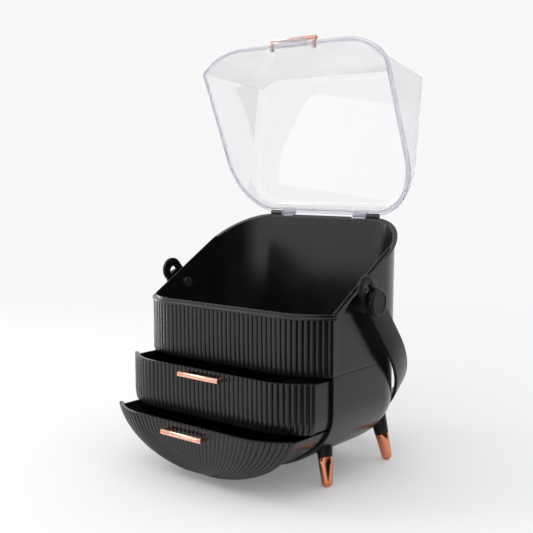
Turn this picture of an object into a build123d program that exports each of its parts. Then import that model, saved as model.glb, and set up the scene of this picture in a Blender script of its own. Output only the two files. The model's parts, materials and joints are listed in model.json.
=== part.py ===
from build123d import *
import os
from math import asin, cos, radians, sin, sqrt, tan

# Portable storage drawer unit: a lidded tray on a housing with two drawers, a swing handle and
# four splayed legs. Millimetres, +Z up, feet on z = 0. It stands as it is used: the lid open, both
# drawers partly out and the handle hanging behind. The front creases of the casing lie in one
# upright plane, and every sketch has its origin in that plane on the middle of the unit.
os.makedirs("parts", exist_ok=True)

# Casing in plan
CREASE_Y = -52.8          # the creases' plane, placed so that the unit's box is centred on the origin
HALF_WIDTH = 128.0        # outside of the side walls
FRONT_BOW = 23.5          # the middle of the front stands this far ahead of the creases
FRONT_FLAT = 74.0         # half length of the front's straight middle
BACK_DEPTH = 151.0        # creases to the outside of the back, at the belly
BACK_LEAN = 2.0           # the back stands this much further back at the rim
CORNER_R = 56.0           # rear corners
WALL = 2.6
RIBS = 44
RIB_PROUD = 1.3

# Casing in elevation
BELLY_Z = 84.0            # the walls are upright above this height and curve in below it
BELLY_DEPTH = 74.0        # half axis of the curve
UNDERSIDE_Z = 12.0        # the curve is cut flat here
FRONT_RECEDE = 1.5        # powers with which the front and the back draw in on the way down
BACK_RECEDE = 0.25
BELLY_STEPS = 10
SEAM_Z = 122.8            # joint between the tray and the housing
SEAM_GAP = 0.4
RIM_Z = 183.1             # ledge of the tray's rim at the front
RIM_RISE = 30.4           # degrees; the ledge climbs from the creases to the back
FLOOR = 2.6

# Rim of the tray
LEDGE_OUT = 3.0           # flange outside the wall
LEDGE_THICK = 2.5
LIP_INSET = 1.4           # raised lip, outside face to the wall's outside
LIP_HEIGHT = 3.0
LIP_END = 105.0           # the lip runs back this far from the creases

# Drawers
RUN_GAP = 0.8             # between a drawer and the housing
SEAT_GAP = 0.3            # under a drawer
DRAWER_WALL = 2.2
DRAWER_FLOOR = 2.4
DRAWER_SHORT = 23.0       # outside of the back to the outside of a closed drawer's rear wall
DRAWER_CORNER_R = 34.0
PANEL_WALL = 2.6
PANEL_GAP = 1.3           # between one front and what is above it
SIDE_DROP = 2.3           # a drawer's sides are this much lower than its front
PANEL_BACK_GAP = 0.5      # between a closed drawer's front and the housing's front edge
SHELF_THICK = 2.0
SHELF_TOP = 69.4
SHELF_FRONT = 3.0
GROOVE = 1.3
GROOVE_GAP = 0.1
UPPER_OUT = 30.0          # how far each drawer stands out
LOWER_OUT = 57.5
RAIL_X = 18.0
RAIL_WIDTH = 5.0
RAIL_START = 1.0
RAIL_SHORT = 58.0         # the rails end this far ahead of the outside of the back
STOP_LIP = 2.4            # height of the lip that catches a drawer's rear wall
STOP_LIP_HALF = 30.0
STOP_LIP_Y = 20.0

# Pulls
PULL_LENGTH = 57.0
LID_PULL_LENGTH = 65.0
PULL_HIGH = 5.5
PULL_THICK = 4.2
PULL_POST = 5.0
FINGER_GAP = 6.5
UPPER_PULL_Z = 115.2
LOWER_PULL_Z = 58.8
PULL_SINK = 0.8           # posts and heads are drawn this far into a front, then scribed to it
PULL_EDGE = 1.2
PULL_SCREW_R = 1.2
PULL_SCREW_HEAD_R = 2.6
PULL_SCREW_HEAD = 1.4
PULL_SCREW_BITE = 7.0
PULL_HOLE_GAP = 0.1

# Screws between the tray and the housing
TAB_FRONT = 16.0
TAB_BACK = 51.0           # ahead of the outside of the back
TAB_LONG = 12.0
TAB_IN = 13.0
TAB_THICK = 2.8
SCREW_R = 1.5
SCREW_HEAD_R = 2.8
SCREW_HEAD = 1.6
SCREW_GAP = 0.1

# Lid, drawn shut on the ledge
LID_WALL = 1.8
LID_OUT = 1.4             # outside of the lid's wall to the outside of the tray's wall
LID_SEAT = 0.3
LID_CROWN = 12.3          # ledge behind the lid to the top of the lid
LID_INSET = 9.5           # the walls draw in by this much up to the crown, the back by less
LID_BACK_INSET = 1.6
LID_ROUND = 10.0          # rounding of the crown
LID_ROUND_STEPS = 5
LID_FLANGE_OUT = 2.8
LID_FLANGE_THICK = 2.0
LID_FLANGE_UP = 2.0       # ledge to the underside of the lid's flange
LID_OPEN = 97.4           # degrees

# Hinge
HINGE_BEHIND = 5.0        # rear wall at the rim to the hinge's axis
HINGE_ABOVE = 2.735       # ledge at the rear wall to the axis
LUG_X = (62.6, 78.4)
KNUCKLE_X = (44.0, 62.1)
BARREL_R = 3.2
HINGE_PIN_R = 1.25
HINGE_PIN_GAP = 0.05
KNUCKLE_ARM = 4.7
NOTCH_GAP = 0.5

# Latch
LATCH_WIDTH = 48.0
LATCH_THICK = 2.0
LATCH_DOWN = 6.0          # below the ledge
LATCH_UP = 8.0           # above the ledge
LATCH_ROUND = 2.5
LID_PULL_UP = 8.0         # ledge to the middle of the lid's pull

# Handle and its knobs
KNOB_AHEAD = 98.0         # outside of the back to the knobs
KNOB_Z = 194.0
SPACER_R = 13.0
SPACER_THICK = 9.0        # between the tray's wall and the strap
STEM_R = 4.5
STEM_GAP = 0.05
STEM_PROUD = 0.1          # the stem stands this far out of the wall, inside the tray
STRAP_GAP = 0.3
STRAP_THICK = 3.9
STRAP_WIDTH = 28.0
STRAP_STRAIGHT = 65.0     # knob to the start of the bow
STRAP_END = 20.0          # knob to the centre of the strap's rounded end
STRAP_LEAN = 39.6         # degrees behind straight down
SLOT_THROW = 18.0
SLOT_LOBE_R = 5.5
SLOT_GAP = 0.25
KNOB_R = 14.5
KNOB_THICK = 6.0
KNOB_DISH = 0.6
KNOB_DISH_R = 11.5
KNOB_EDGE = 1.6
KNOB_SCREW_R = 2.0
KNOB_SCREW_HEAD_R = 6.0
KNOB_SCREW_HEAD = 1.8
KNOB_SCREW_BITE = 12.0

# Legs
FOOT_IN = 21.2            # feet to the outside of the side walls
FOOT_FRONT = 19.8
FOOT_SHORT = 14.5         # rear feet to the outside of the back
SPLAY_X = 0.198           # sideways and fore-and-aft travel for each millimetre of height
SPLAY_Y = 0.126
FOOT_R = 6.05
FOOT_FLAT = 0.45
TIP_TOP = 25.6            # along the leg, from the middle of the foot's round end
TIP_TOP_R = 7.9
LEG_TOP = 58.0
LEG_TOP_R = 10.2
SPIGOT_R = 3.5
SPIGOT_GAP = 0.05
SPIGOT_DEEP = 6.0
PLUG_R = 5.0
PLUG_GAP = 0.1

# Worked out from the sizes above
SLOPE = tan(radians(RIM_RISE))
REAR_WALL = BACK_DEPTH + BACK_LEAN
HINGE_Y = REAR_WALL + HINGE_BEHIND
HINGE_Z = RIM_Z + SLOPE * REAR_WALL + HINGE_ABOVE
LID_TOP = RIM_Z + SLOPE * (REAR_WALL + LID_OUT) + LID_CROWN
DRAWER_DEPTH = BACK_DEPTH - DRAWER_SHORT
TAB_Y = (TAB_FRONT, BACK_DEPTH - TAB_BACK)
FOOT_X = HALF_WIDTH - FOOT_IN
FOOT_BACK = BACK_DEPTH - FOOT_SHORT
KNOB_Y = BACK_DEPTH - KNOB_AHEAD
TRAY_TOP = RIM_Z + SLOPE * REAR_WALL + 12.0
REACH = HALF_WIDTH - FRONT_FLAT
BOW_R = (REACH**2 + FRONT_BOW**2) / (2 * FRONT_BOW)
FLAT_SHARE = FRONT_FLAT / (FRONT_FLAT + BOW_R * asin(REACH / BOW_R))
HULL_INSET = WALL + RUN_GAP
UPPER_TOP = SEAM_Z - PANEL_GAP
LOWER_TOP = SHELF_TOP - SEAT_GAP
UPPER_BOTTOM = LOWER_TOP + PANEL_GAP
SHELF_BOTTOM = SHELF_TOP - SHELF_THICK
UPPER_SIDES = UPPER_TOP - SIDE_DROP
LOWER_SIDES = LOWER_TOP - SIDE_DROP
PULL_X = (PULL_LENGTH - PULL_POST) / 2
LID_PULL_X = (LID_PULL_LENGTH - PULL_POST) / 2
LID_PULL_Z = RIM_Z + LID_PULL_UP
LID_FACE = FRONT_BOW + LID_OUT - LID_INSET * (LID_PULL_UP - LID_SEAT) / (LID_TOP - LID_ROUND - RIM_Z)
TAB_X = HALF_WIDTH - WALL - TAB_IN / 2
HANGING = (Align.CENTER, Align.MAX, Align.MAX)
HANGING_FREE = (Align.CENTER, Align.CENTER, Align.MAX)
STANDING = (Align.CENTER, Align.CENTER, Align.MIN)
LID_REST = RIM_Z + LID_SEAT
HINGE_AXIS = Axis((0, CREASE_Y + HINGE_Y, HINGE_Z), (1, 0, 0))
STRAP_IN = HALF_WIDTH + SPACER_THICK + STRAP_GAP
STRAP_OUT = STRAP_IN + STRAP_THICK
KNOB_IN = STRAP_OUT + STRAP_GAP
STEM_END = HALF_WIDTH - WALL - STEM_PROUD


def keep(z, inset=0.0):
    """Share of its full half width that the casing keeps at height z: an ellipse below the belly."""
    drop = max(BELLY_Z - z, 0.0) / (BELLY_DEPTH - inset)
    return sqrt(1 - min(drop, 1.0) ** 2)


def levels(top, bottom, inset=0.0):
    """Heights of a hull's sections: the top, the belly, then equal steps of the ellipse's angle."""
    deep = BELLY_DEPTH - inset
    first = asin(max(BELLY_Z - top, 0.0) / deep)
    last = asin((BELLY_Z - bottom) / deep)
    steps = max(2, round(BELLY_STEPS * (last - first)))
    curve = [BELLY_Z - deep * sin(first + (last - first) * i / steps) for i in range(steps + 1)]
    return ([top] if top > BELLY_Z else []) + curve


def front_point(place, width, bow, flat, proud=0.0):
    """Point of a front outline: place runs from -1 at the left crease to 1 at the right one."""
    side = 1 if place >= 0 else -1
    along = abs(place)
    if along <= FLAT_SHARE:
        return side * flat * along / FLAT_SHARE, -bow - proud
    reach = width - flat
    radius = (reach**2 + bow**2) / (2 * bow)
    turn = (along - FLAT_SHARE) / (1 - FLAT_SHARE) * asin(reach / radius)
    return side * (flat + (radius + proud) * sin(turn)), radius - bow - (radius + proud) * cos(turn)


def draw_front(width, bow, flat, proud=0.0):
    """Draws a front outline from crease to crease: reeds where proud is given, otherwise smooth."""
    if proud:
        for i in range(RIBS):
            places = [-1 + 2 * (i + step) / RIBS for step in (0, 0.5, 1)]
            start, crest, end = (
                front_point(place, width, bow, flat, proud if j == 1 else 0.0)
                for j, place in enumerate(places)
            )
            ThreePointArc(start, crest, end)
        return
    half = (1 + FLAT_SHARE) / 2
    for a, b, c in ((-1, -half, -FLAT_SHARE), (FLAT_SHARE, half, 1)):
        ThreePointArc(*(front_point(place, width, bow, flat) for place in (a, b, c)))
    Line((-flat, -bow), (flat, -bow))


def draw_back(width, back, corner):
    """Draws the sides, the rounded rear corners and the back, from the right crease to the left."""
    mid = corner * (1 - sqrt(0.5))
    Line((width, 0), (width, back - corner))
    ThreePointArc((width, back - corner), (width - mid, back - mid), (width - corner, back))
    Line((width - corner, back), (-width + corner, back))
    ThreePointArc((-width + corner, back), (-width + mid, back - mid), (-width, back - corner))
    Line((-width, back - corner), (-width, 0))


def plan(
    z, inset=0.0, proud=0.0, front=True, rear=True, back=None, corner=CORNER_R, bow=None, ahead=0.0
):
    """Level section of the casing at height z, drawn in by inset; either half may be left out."""
    share = keep(z, inset)
    width = (HALF_WIDTH - inset) * share
    bulge = (FRONT_BOW - inset if bow is None else bow) * share**FRONT_RECEDE
    lean = BACK_LEAN * max(z - BELLY_Z, 0.0) / (HINGE_Z - BELLY_Z)
    depth = ((BACK_DEPTH - inset if back is None else back) + lean) * share**BACK_RECEDE
    with BuildSketch(Plane((0, CREASE_Y - ahead, z))) as section:
        with BuildLine():
            if front:
                draw_front(width, bulge, FRONT_FLAT * share, proud * share)
            else:
                Line((-width, 0), (width, 0))
            if rear:
                draw_back(width, depth, (corner - inset) * share)
            else:
                Line((width, 0), (-width, 0))
        make_face()
    return section.sketch


def hull(top, bottom, inset=0.0, mode=Mode.ADD, **kind):
    """Lofts the casing's sections between two heights into the part being built."""
    loft([plan(z, inset, **kind) for z in levels(top, bottom, inset)], ruled=True, mode=mode)


def upright_loft(bottom, top, inset=0.0, mode=Mode.ADD, **kind):
    """Lofts the casing's walls above the belly, where they are straight."""
    loft([plan(z, inset, **kind) for z in (bottom, top)], ruled=True, mode=mode)


def below_rim(rise):
    """Solid of all that lies under the rim's ledge, raised by rise."""
    far = BACK_DEPTH + 40
    low = SEAM_Z - 20
    with BuildPart() as under:
        with BuildSketch(Plane(origin=(0, CREASE_Y, 0), x_dir=(0, 1, 0), z_dir=(1, 0, 0))):
            Polygon(
                (-far, low), (far, low), (far, RIM_Z + rise + SLOPE * far), (0, RIM_Z + rise),
                (-far, RIM_Z + rise), align=None,
            )
        extrude(amount=HALF_WIDTH + 40, both=True)
    return under.part


def pair(*values):
    """Each value with both signs."""
    return [sign * value for value in values for sign in (-1, 1)]


def cross_plane(x, y, z):
    """Plane square to X at a point given from the creases."""
    return Plane(origin=(x, CREASE_Y + y, z), x_dir=(0, 1, 0), z_dir=(1, 0, 0))


def rod(x_from, x_to, y, z, radius, mode=Mode.ADD):
    """Round bar along X between two places."""
    with BuildSketch(cross_plane(min(x_from, x_to), y, z)) as round_face:
        Circle(radius)
    extrude(round_face.sketch, amount=abs(x_to - x_from), mode=mode)


def peg(x, y_from, y_to, z, radius, mode=Mode.ADD):
    """Round bar along Y between two distances from the creases."""
    seat = Plane(origin=(x, CREASE_Y + min(y_from, y_to), z), x_dir=(1, 0, 0), z_dir=(0, 1, 0))
    with BuildSketch(seat) as round_face:
        Circle(radius)
    extrude(round_face.sketch, amount=abs(y_to - y_from), mode=mode)


def draw_pull(face, z, length, post_x):
    """Bar on two drilled posts; face is the front's surface, measured from the creases."""
    with Locations((0, CREASE_Y + face - FINGER_GAP, z)):
        Box(length, PULL_THICK, PULL_HIGH, align=(Align.CENTER, Align.MAX, Align.CENTER))
    fillet(edges().filter_by(Axis.X), PULL_EDGE)
    for x in pair(post_x):
        peg(x, face - FINGER_GAP - PULL_THICK / 2, face + PULL_SINK, z, PULL_POST / 2)
        peg(x, face - PULL_SCREW_BITE, face + PULL_SINK, z, PULL_SCREW_R, mode=Mode.SUBTRACT)


def draw_pull_screws(face, inside, z, post_x):
    """Screws of a pull, their heads inside the front that the pull stands on."""
    for x in pair(post_x):
        peg(x, face - PULL_SCREW_BITE, inside + PULL_SCREW_HEAD, z, PULL_SCREW_R)
        peg(x, inside - PULL_SINK, inside + PULL_SCREW_HEAD, z, PULL_SCREW_HEAD_R)


def draw_drawer(top, bottom, sides, seat, ahead, pull_z):
    """Reeded front and inset box, hollowed in one, standing ahead of the shut place."""
    hull(top, bottom, proud=RIB_PROUD, rear=False, ahead=ahead)
    with Locations((0, CREASE_Y - ahead - PANEL_BACK_GAP, BELLY_Z)):
        Box(3 * HALF_WIDTH, 20, 200, align=(Align.CENTER, Align.MIN, Align.CENTER), mode=Mode.SUBTRACT)
    hull(sides, seat, HULL_INSET, back=DRAWER_DEPTH, corner=DRAWER_CORNER_R, ahead=ahead)
    hull(
        top + 1, seat + DRAWER_FLOOR, HULL_INSET + DRAWER_WALL, mode=Mode.SUBTRACT, ahead=ahead,
        back=DRAWER_DEPTH - DRAWER_WALL, corner=DRAWER_CORNER_R, bow=FRONT_BOW - PANEL_WALL,
    )
    for x in pair(PULL_X):
        peg(x, -ahead - FRONT_BOW - 5, -ahead, pull_z, PULL_SCREW_R + PULL_HOLE_GAP, mode=Mode.SUBTRACT)


def front_face(z, ahead, inset=0.0):
    """Distance from the creases to a drawer front's surface at height z."""
    return -ahead - (FRONT_BOW - inset) * keep(z, inset) ** FRONT_RECEDE


# Tray: ribbed front, ledge, raised lip, floor and hinge lugs in one moulding
with BuildPart() as ledge_band:
    upright_loft(SEAM_Z, TRAY_TOP, -LEDGE_OUT)
    add(below_rim(0.0), mode=Mode.INTERSECT)
    add(below_rim(-LEDGE_THICK), mode=Mode.SUBTRACT)

with BuildPart() as lip_band:
    upright_loft(SEAM_Z, TRAY_TOP, LIP_INSET)
    add(below_rim(LIP_HEIGHT), mode=Mode.INTERSECT)
    with Locations((0, CREASE_Y + LIP_END, TRAY_TOP)):
        Box(
            3 * HALF_WIDTH, BACK_DEPTH, TRAY_TOP, align=(Align.CENTER, Align.MIN, Align.CENTER),
            mode=Mode.SUBTRACT,
        )

with BuildPart() as tray_shell:
    upright_loft(SEAM_Z, TRAY_TOP, proud=RIB_PROUD)
    add(below_rim(0.0), mode=Mode.INTERSECT)
    add(ledge_band.part)
    add(lip_band.part)
    for side in (-1, 1):
        notch_x = side * (KNUCKLE_X[0] + LUG_X[0]) / 2
        notch_wide = LUG_X[0] - KNUCKLE_X[0] + 2 * NOTCH_GAP
        with Locations((notch_x - side * NOTCH_GAP, CREASE_Y + REAR_WALL, HINGE_Z)):
            Box(notch_wide, 20, 16, align=(Align.CENTER, Align.MIN, Align.CENTER), mode=Mode.SUBTRACT)
        rod(side * LUG_X[0], side * LUG_X[1], HINGE_Y, HINGE_Z, BARREL_R)
        with BuildSketch(cross_plane(min(side * LUG_X[0], side * LUG_X[1]), 0, 0)) as lug_arm:
            Polygon(
                (REAR_WALL - 1, HINGE_Z - 12), (HINGE_Y + 1.6, HINGE_Z - BARREL_R + 0.5),
                (HINGE_Y, HINGE_Z), (REAR_WALL - 1, RIM_Z + SLOPE * (REAR_WALL - 1)), align=None,
            )
        extrude(lug_arm.sketch, amount=LUG_X[1] - LUG_X[0])
        rod(
            side * (LUG_X[0] - 1), side * (LUG_X[1] - WALL), HINGE_Y, HINGE_Z, HINGE_PIN_R,
            mode=Mode.SUBTRACT,
        )
    upright_loft(SEAM_Z + FLOOR, TRAY_TOP + 1, WALL, mode=Mode.SUBTRACT)
    with Locations((0, CREASE_Y + STOP_LIP_Y, SEAM_Z)):
        Box(2 * STOP_LIP_HALF, WALL, SEAM_Z - UPPER_SIDES + STOP_LIP, align=HANGING)
    for side in (-1, 1):
        rod(
            side * (HALF_WIDTH - WALL - 1), side * (HALF_WIDTH + 1), KNOB_Y, KNOB_Z, STEM_R + STEM_GAP,
            mode=Mode.SUBTRACT,
        )
        for y in TAB_Y:
            with Locations((side * TAB_X, CREASE_Y + y, SEAM_Z + FLOOR)):
                Hole(SCREW_R + SCREW_GAP, FLOOR)
tray_shell.part.label = "tray_shell"
export_step(tray_shell.part, "parts/tray_shell.step")

# Screws down through the tray's floor into the housing's tabs
with BuildPart() as tray_screws:
    for x in pair(TAB_X):
        for y in TAB_Y:
            with Locations((x, CREASE_Y + y, SEAM_Z - TAB_THICK)):
                Cylinder(SCREW_R, TAB_THICK + FLOOR + SCREW_HEAD, align=STANDING)
            with Locations((x, CREASE_Y + y, SEAM_Z + FLOOR)):
                Cylinder(SCREW_HEAD_R, SCREW_HEAD, align=STANDING)
tray_screws.part.label = "tray_screws"
export_step(tray_screws.part, "parts/tray_screws.step")

# Housing round the drawers, open in front, with tabs for the screws and rails under the lower drawer
with BuildPart() as casing_block:
    hull(SEAM_Z - SEAM_GAP, UNDERSIDE_Z, front=False)

with BuildPart() as casing_room:
    hull(SEAM_Z, UNDERSIDE_Z + WALL, WALL)


def leg_plane(side, foot_y, splay):
    """Plane across a leg at the middle of its round foot, facing up the leg."""
    foot = (side * FOOT_X, CREASE_Y + foot_y, FOOT_R - FOOT_FLAT)
    return Plane(origin=foot, x_dir=(1, 0, side * SPLAY_X), z_dir=(-side * SPLAY_X, splay, 1))


LEGS = {
    "front_left": leg_plane(-1, FOOT_FRONT, SPLAY_Y),
    "front_right": leg_plane(1, FOOT_FRONT, SPLAY_Y),
    "rear_left": leg_plane(-1, FOOT_BACK, -SPLAY_Y),
    "rear_right": leg_plane(1, FOOT_BACK, -SPLAY_Y),
}

with BuildPart() as housing_shell:
    add(casing_block.part)
    add(casing_room.part, mode=Mode.SUBTRACT)
    hull(SHELF_TOP + GROOVE_GAP, SHELF_BOTTOM, WALL - GROOVE, mode=Mode.SUBTRACT, front=False)
    for x in pair(TAB_X + WALL / 4):
        for y in TAB_Y:
            with Locations((x, CREASE_Y + y, SEAM_Z)):
                Box(TAB_IN + WALL / 2, TAB_LONG, TAB_THICK, align=(Align.CENTER, Align.CENTER, Align.MAX))
    for x in pair(TAB_X):
        for y in TAB_Y:
            with Locations((x, CREASE_Y + y, SEAM_Z)):
                Hole(SCREW_R, TAB_THICK)
    for x in pair(RAIL_X):
        with Locations((x, CREASE_Y + RAIL_START, UNDERSIDE_Z + WALL + RUN_GAP - SEAT_GAP)):
            Box(
                RAIL_WIDTH, BACK_DEPTH - RAIL_SHORT - RAIL_START, RUN_GAP,
                align=(Align.CENTER, Align.MIN, Align.MAX),
            )
    for leg_place in LEGS.values():
        with Locations(leg_place.location):
            Cylinder(PLUG_R + PLUG_GAP, LEG_TOP + 8, align=STANDING, mode=Mode.SUBTRACT)
housing_shell.part.label = "housing_shell"
export_step(housing_shell.part, "parts/housing_shell.step")

# Shelf in the housing's groove, with the lip that stops the lower drawer
with BuildPart() as middle_shelf:
    hull(SHELF_TOP, SHELF_BOTTOM, WALL - GROOVE + GROOVE_GAP, front=False)
    with Locations((0, CREASE_Y + SHELF_FRONT, SHELF_TOP)):
        Box(3 * HALF_WIDTH, 20, 20, align=(Align.CENTER, Align.MAX, Align.CENTER), mode=Mode.SUBTRACT)
    with Locations((0, CREASE_Y + STOP_LIP_Y, SHELF_BOTTOM + 0.5)):
        Box(2 * STOP_LIP_HALF, WALL, SHELF_BOTTOM + 0.5 - LOWER_SIDES + STOP_LIP, align=HANGING)
middle_shelf.part.label = "middle_shelf"
export_step(middle_shelf.part, "parts/middle_shelf.step")

# Drawers with their pulls
with BuildPart() as upper_drawer:
    draw_drawer(UPPER_TOP, UPPER_BOTTOM, UPPER_SIDES, SHELF_TOP + SEAT_GAP, UPPER_OUT, UPPER_PULL_Z)
upper_drawer.part.label = "upper_drawer"
export_step(upper_drawer.part, "parts/upper_drawer.step")

with BuildPart() as lower_drawer:
    draw_drawer(
        LOWER_TOP, UNDERSIDE_Z, LOWER_SIDES, UNDERSIDE_Z + HULL_INSET, LOWER_OUT, LOWER_PULL_Z
    )
lower_drawer.part.label = "lower_drawer"
export_step(lower_drawer.part, "parts/lower_drawer.step")

with BuildPart() as upper_pull:
    draw_pull(front_face(UPPER_PULL_Z, UPPER_OUT), UPPER_PULL_Z, PULL_LENGTH, PULL_X)
    add(upper_drawer.part, mode=Mode.SUBTRACT)
upper_pull.part.label = "upper_pull"
export_step(upper_pull.part, "parts/upper_pull.step")

with BuildPart() as lower_pull:
    draw_pull(front_face(LOWER_PULL_Z, LOWER_OUT), LOWER_PULL_Z, PULL_LENGTH, PULL_X)
    add(lower_drawer.part, mode=Mode.SUBTRACT)
lower_pull.part.label = "lower_pull"
export_step(lower_pull.part, "parts/lower_pull.step")

with BuildPart() as upper_pull_screws:
    draw_pull_screws(
        front_face(UPPER_PULL_Z, UPPER_OUT), front_face(UPPER_PULL_Z, UPPER_OUT, PANEL_WALL),
        UPPER_PULL_Z, PULL_X,
    )
    add(upper_drawer.part, mode=Mode.SUBTRACT)
upper_pull_screws.part.label = "upper_pull_screws"
export_step(upper_pull_screws.part, "parts/upper_pull_screws.step")

with BuildPart() as lower_pull_screws:
    draw_pull_screws(
        front_face(LOWER_PULL_Z, LOWER_OUT), front_face(LOWER_PULL_Z, LOWER_OUT, PANEL_WALL),
        LOWER_PULL_Z, PULL_X,
    )
    add(lower_drawer.part, mode=Mode.SUBTRACT)
lower_pull_screws.part.label = "lower_pull_screws"
export_step(lower_pull_screws.part, "parts/lower_pull_screws.step")


def lid_section(z, inset, back_inset, front, tilt=0.0):
    """Half of the shut lid's section: ahead of the creases, or behind them on a plane tilted up."""
    width = HALF_WIDTH + LID_OUT - inset
    back = REAR_WALL + LID_OUT - back_inset
    corner = CORNER_R + LID_OUT - inset
    lean = radians(tilt)
    place = Plane(origin=(0, CREASE_Y, z), x_dir=(1, 0, 0), z_dir=(0, -sin(lean), cos(lean)))
    with BuildSketch(place) as section:
        with BuildLine():
            if front:
                draw_front(width, FRONT_BOW + LID_OUT - inset, FRONT_FLAT * width / HALF_WIDTH)
                Line((width, 0), (-width, 0))
            else:
                turn = (back - corner) / cos(lean)
                end = back / cos(lean)
                Line((-width, 0), (width, 0))
                Line((width, 0), (width, turn))
                EllipticalCenterArc(
                    (width - corner, turn), corner, end - turn, start_angle=0, arc_size=90
                )
                Line((width - corner, end), (-width + corner, end))
                EllipticalCenterArc(
                    (-width + corner, turn), corner, end - turn, start_angle=90, arc_size=90
                )
                Line((-width, turn), (-width, 0))
        make_face()
    return section.sketch


def lid_body(wall, mode=Mode.ADD):
    """Lofts the shut lid from its rim to its crown, drawn in by wall on every side."""
    bend = LID_ROUND - wall
    for front in (True, False):
        stack = [lid_section(LID_REST, wall, wall, front, 0.0 if front else RIM_RISE)]
        for i in range(LID_ROUND_STEPS + 1):
            turn = radians(90 * i / LID_ROUND_STEPS)
            inset = wall + bend * (1 - cos(turn))
            z = LID_TOP - LID_ROUND + bend * sin(turn)
            stack.append(lid_section(z, LID_INSET + inset, LID_BACK_INSET + inset, front))
        loft(stack, ruled=True, mode=mode)


# Lid, drawn shut and then turned back to where it rests
with BuildPart() as lid_flange:
    upright_loft(SEAM_Z, TRAY_TOP, -LID_OUT - LID_FLANGE_OUT)
    add(below_rim(LID_SEAT + LID_FLANGE_UP + LID_FLANGE_THICK), mode=Mode.INTERSECT)
    add(below_rim(LID_SEAT + LID_FLANGE_UP), mode=Mode.SUBTRACT)
    for x in pair(sum(LUG_X) / 2):
        with Locations((x, CREASE_Y + REAR_WALL + LID_OUT, HINGE_Z)):
            Box(
                LUG_X[1] - LUG_X[0] + 2 * NOTCH_GAP, 20, 30,
                align=(Align.CENTER, Align.MIN, Align.CENTER), mode=Mode.SUBTRACT,
            )

with BuildPart() as shut_lid:
    lid_body(0.0)
    add(lid_flange.part)
    for side in (-1, 1):
        rod(side * KNUCKLE_X[0], side * KNUCKLE_X[1], HINGE_Y, HINGE_Z, BARREL_R)
        with Locations((side * sum(KNUCKLE_X) / 2, CREASE_Y + HINGE_Y, HINGE_Z)):
            Box(
                KNUCKLE_X[1] - KNUCKLE_X[0], HINGE_Y - REAR_WALL, KNUCKLE_ARM,
                align=(Align.CENTER, Align.MAX, Align.MIN),
            )
    lid_body(LID_WALL, Mode.SUBTRACT)
    for side in (-1, 1):
        rod(
            side * (KNUCKLE_X[0] - 1), side * (KNUCKLE_X[1] + 1), HINGE_Y, HINGE_Z,
            HINGE_PIN_R + HINGE_PIN_GAP, mode=Mode.SUBTRACT,
        )
        peg(
            side * LID_PULL_X, -LID_FACE - 5, -LID_FACE + 5, LID_PULL_Z,
            PULL_SCREW_R + PULL_HOLE_GAP, mode=Mode.SUBTRACT,
        )

with BuildPart() as lid_shell:
    add(shut_lid.part.rotate(HINGE_AXIS, -LID_OPEN))
lid_shell.part.label = "lid_shell"
export_step(lid_shell.part, "parts/lid_shell.step")

with BuildPart() as shut_latch:
    with Locations((0, CREASE_Y - FRONT_BOW - LID_OUT - LID_FLANGE_OUT, RIM_Z - LATCH_DOWN)):
        Box(LATCH_WIDTH, LATCH_THICK, LATCH_DOWN + LATCH_UP, align=(Align.CENTER, Align.MAX, Align.MIN))
    fillet(edges().filter_by(Axis.Y), LATCH_ROUND)
    with Locations((0, CREASE_Y - FRONT_BOW, LID_REST + LID_FLANGE_UP + LID_FLANGE_THICK - LID_SEAT)):
        Box(
            LATCH_WIDTH - 2 * LATCH_ROUND, LID_OUT + LID_FLANGE_OUT + LATCH_THICK / 2, LATCH_THICK,
            align=(Align.CENTER, Align.MAX, Align.MIN),
        )
    add(shut_lid.part, mode=Mode.SUBTRACT)

with BuildPart() as lid_latch:
    add(shut_latch.part.rotate(HINGE_AXIS, -LID_OPEN))
lid_latch.part.label = "lid_latch"
export_step(lid_latch.part, "parts/lid_latch.step")

with BuildPart() as shut_pull:
    draw_pull(-LID_FACE, LID_PULL_Z, LID_PULL_LENGTH, LID_PULL_X)
    add(shut_lid.part, mode=Mode.SUBTRACT)

with BuildPart() as lid_pull:
    add(shut_pull.part.rotate(HINGE_AXIS, -LID_OPEN))
lid_pull.part.label = "lid_pull"
export_step(lid_pull.part, "parts/lid_pull.step")

with BuildPart() as shut_screws:
    draw_pull_screws(-LID_FACE, -LID_FACE + LID_WALL, LID_PULL_Z, LID_PULL_X)
    add(shut_lid.part, mode=Mode.SUBTRACT)

with BuildPart() as lid_pull_screws:
    add(shut_screws.part.rotate(HINGE_AXIS, -LID_OPEN))
lid_pull_screws.part.label = "lid_pull_screws"
export_step(lid_pull_screws.part, "parts/lid_pull_screws.step")

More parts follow.
